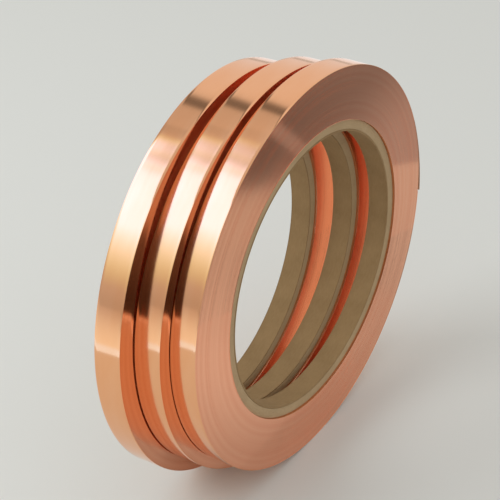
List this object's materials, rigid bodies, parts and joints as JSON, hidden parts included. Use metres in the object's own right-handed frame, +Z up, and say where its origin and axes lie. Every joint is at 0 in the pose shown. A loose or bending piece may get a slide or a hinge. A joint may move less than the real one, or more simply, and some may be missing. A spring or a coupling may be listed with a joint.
{
  "type": "copper foil tape roll",
  "caption": "Loose rolls of thin adhesive-backed copper tape with a paper liner, wound on narrow board cores and standing on edge side by side.",
  "frame": {"origin": "centre of the front roll's bore", "axes": "the front roll's axis is Y and its open face looks to -Y; the other rolls stand behind it towards +Y, fanned towards -X; +Z is up and the rolls stand on edge about 56 mm below the origin"},
  "size_m": [0.1227, 0.0278, 0.1115],
  "materials": {
    "copper_foil": "bright rolled copper, smooth and mirror-like with faint lines along the tape",
    "copper_edges": "satin wound edges of copper foil with fine concentric rings",
    "core_board": "matt grey-brown board",
    "core_lining": "matt grey-brown paper ply with a butt seam",
    "release_paper": "smooth coated off-white paper"
  },
  "bodies": {
    "front_roll": {"front_core_tube": "core_board", "front_core_lining": "core_lining", "front_first_turn": "copper_edges", "front_winding": "copper_edges", "front_last_turn": "copper_foil"},
    "front_liner": {"front_liner_end": "release_paper"},
    "front_foil": {"front_foil_end": "copper_foil"},
    "middle_roll": {"middle_core_tube": "core_board", "middle_core_lining": "core_lining", "middle_first_turn": "copper_edges", "middle_winding": "copper_edges", "middle_last_turn": "copper_foil"},
    "middle_liner": {"middle_liner_end": "release_paper"},
    "middle_foil": {"middle_foil_end": "copper_foil"},
    "rear_roll": {"rear_core_tube": "core_board", "rear_core_lining": "core_lining", "rear_first_turn": "copper_edges", "rear_winding": "copper_edges", "rear_last_turn": "copper_foil"},
    "rear_liner": {"rear_liner_end": "release_paper"},
    "rear_foil": {"rear_foil_end": "copper_foil"}
  },
  "joints": [
    {"name": "middle_pull_away", "type": "slide", "parent": "front_roll", "child": "middle_roll", "axis": [-0.0209, 0.9998, 0], "range_m": [0, 0.06]},
    {"name": "rear_pull_away", "type": "slide", "parent": "middle_roll", "child": "rear_roll", "axis": [-0.0523, 0.9986, 0], "range_m": [0, 0.06]},
    {"name": "front_end_lift", "type": "hinge", "parent": "front_roll", "child": "front_liner", "pos_m": [0.05123, 0, 0.02195], "axis": [0, -1, 0], "range_deg": [0, 60]},
    {"name": "front_foil_peel", "type": "hinge", "parent": "front_liner", "child": "front_foil", "pos_m": [0.05126, 0, 0.02197], "axis": [0, -1, 0], "range_deg": [0, 75]},
    {"name": "middle_end_lift", "type": "hinge", "parent": "middle_roll", "child": "middle_liner", "pos_m": [0.03805, 0.00938, 0.03634], "axis": [0.0209, -0.9998, 0], "range_deg": [0, 60]},
    {"name": "middle_foil_peel", "type": "hinge", "parent": "middle_liner", "child": "middle_foil", "pos_m": [0.03807, 0.00939, 0.03636], "axis": [0.0209, -0.9998, 0], "range_deg": [0, 75]},
    {"name": "rear_end_lift", "type": "hinge", "parent": "rear_roll", "child": "rear_liner", "pos_m": [0.02644, 0.01943, 0.04187], "axis": [0.0523, -0.9986, 0], "range_deg": [0, 60]},
    {"name": "rear_foil_peel", "type": "hinge", "parent": "rear_liner", "child": "rear_foil", "pos_m": [0.02646, 0.01943, 0.04189], "axis": [0.0523, -0.9986, 0], "range_deg": [0, 75]}
  ]
}
